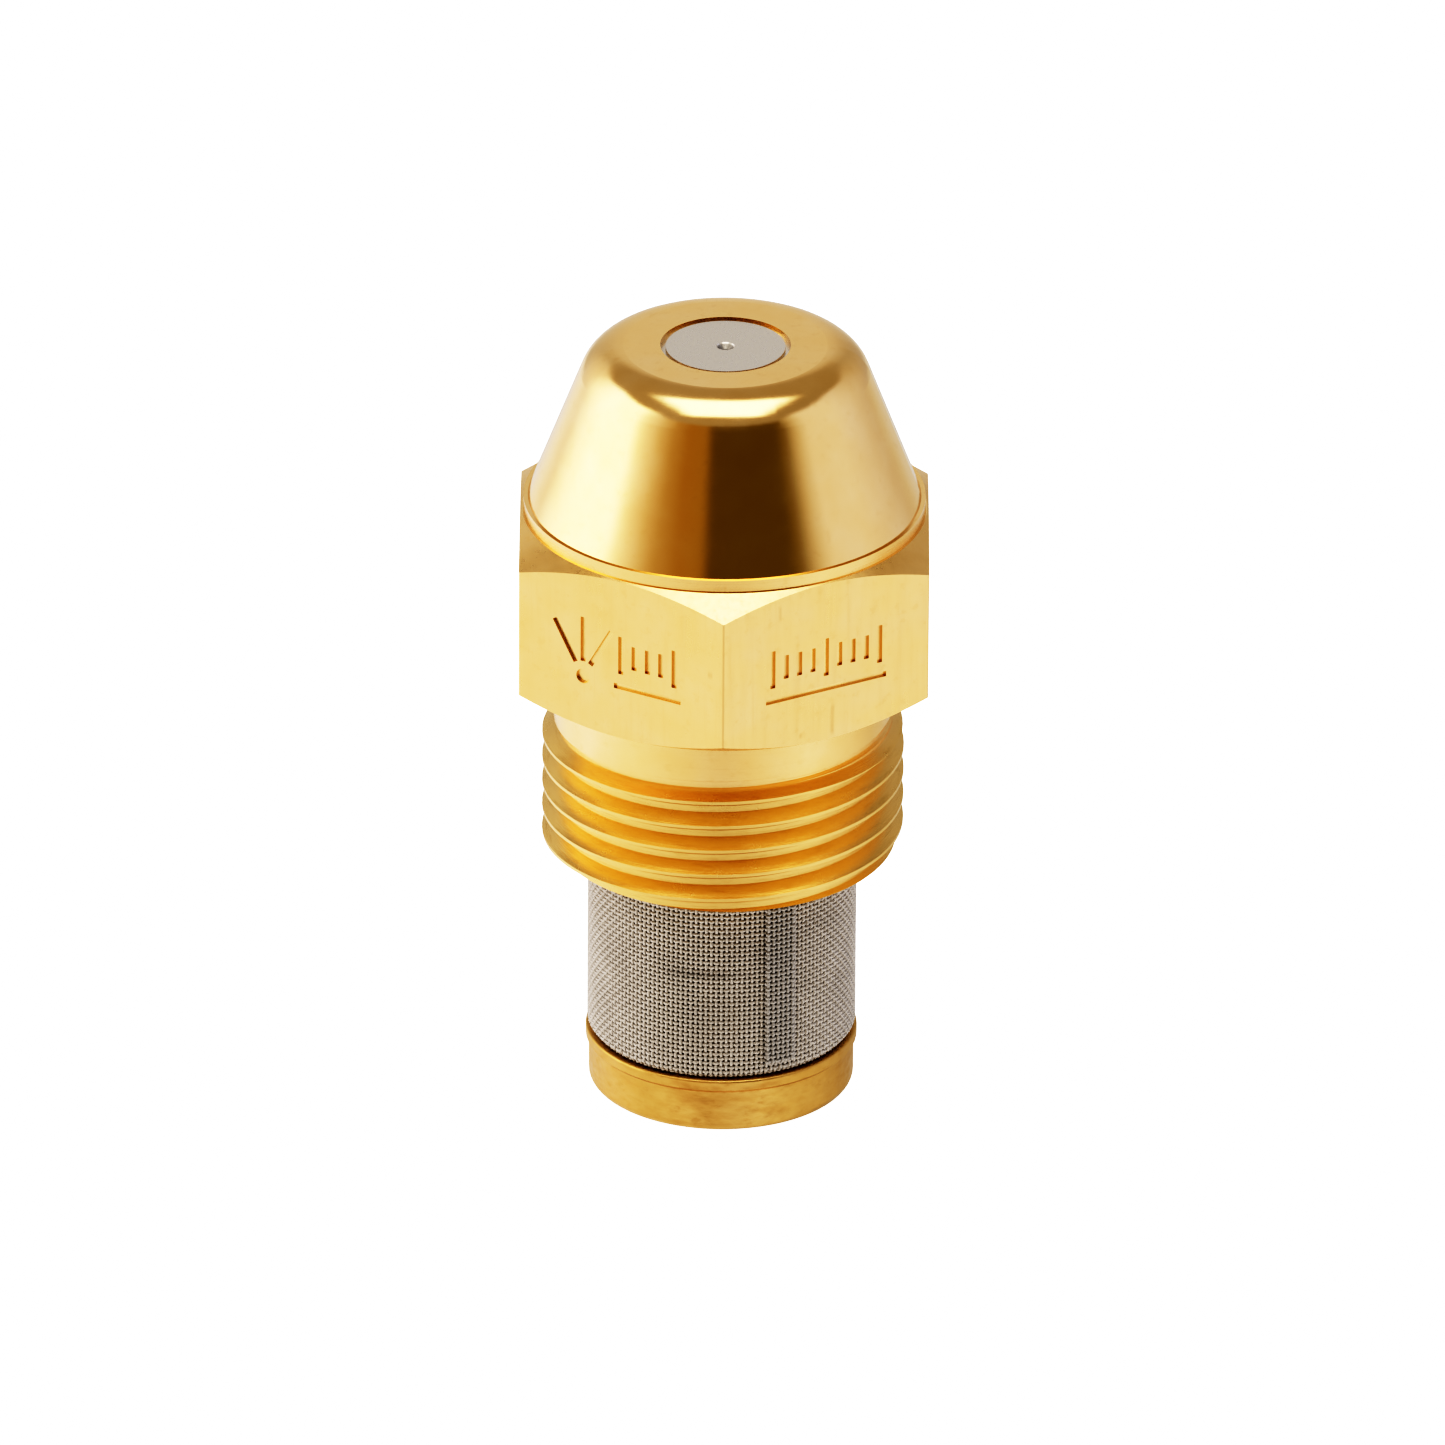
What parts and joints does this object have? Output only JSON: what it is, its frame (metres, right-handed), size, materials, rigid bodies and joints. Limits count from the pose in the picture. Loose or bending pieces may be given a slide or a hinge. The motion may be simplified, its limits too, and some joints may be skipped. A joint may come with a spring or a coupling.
{
  "type": "oil burner nozzle",
  "caption": "Brass pressure-atomising oil burner nozzle: tapered nose with a small spray orifice, hexagon, threaded shank and a screw-in woven gauze strainer.",
  "frame": {"origin": "on the spray axis, in the plane of the strainer cap's underside", "axes": "+Z along the spray axis towards the nose; one corner of the hexagon points along -Y"},
  "size_m": [0.016, 0.0184, 0.0318],
  "materials": {
    "body_brass": "turned, satin",
    "inner_brass": "turned",
    "cap_brass": "pressed, slightly tarnished",
    "disc_steel": "fine ground",
    "gauze_wire": "woven wire, dulled"
  },
  "bodies": {
    "strainer": {"strainer_core": "inner_brass", "strainer_cap": "cap_brass"},
    "gauze_sleeve": {"strainer_gauze": "gauze_wire"},
    "nozzle": {"nozzle_body": "body_brass", "orifice_disc": "disc_steel", "distributor": "disc_steel", "locking_screw": "inner_brass"}
  },
  "joints": [
    {"name": "nozzle_turn", "type": "hinge", "parent": "strainer", "child": "gauze_sleeve", "pos_m": [0, 0, 0.0104], "axis": [0, 0, 1], "range_deg": [0, 1440]},
    {"name": "nozzle_travel", "type": "slide", "parent": "gauze_sleeve", "child": "nozzle", "axis": [0, 0, 1], "range_m": [0, 0.004]}
  ],
  "couplings": [
    {"joint": "nozzle_turn", "follows": "nozzle_travel", "rad_per_m": 6283.2}
  ]
}
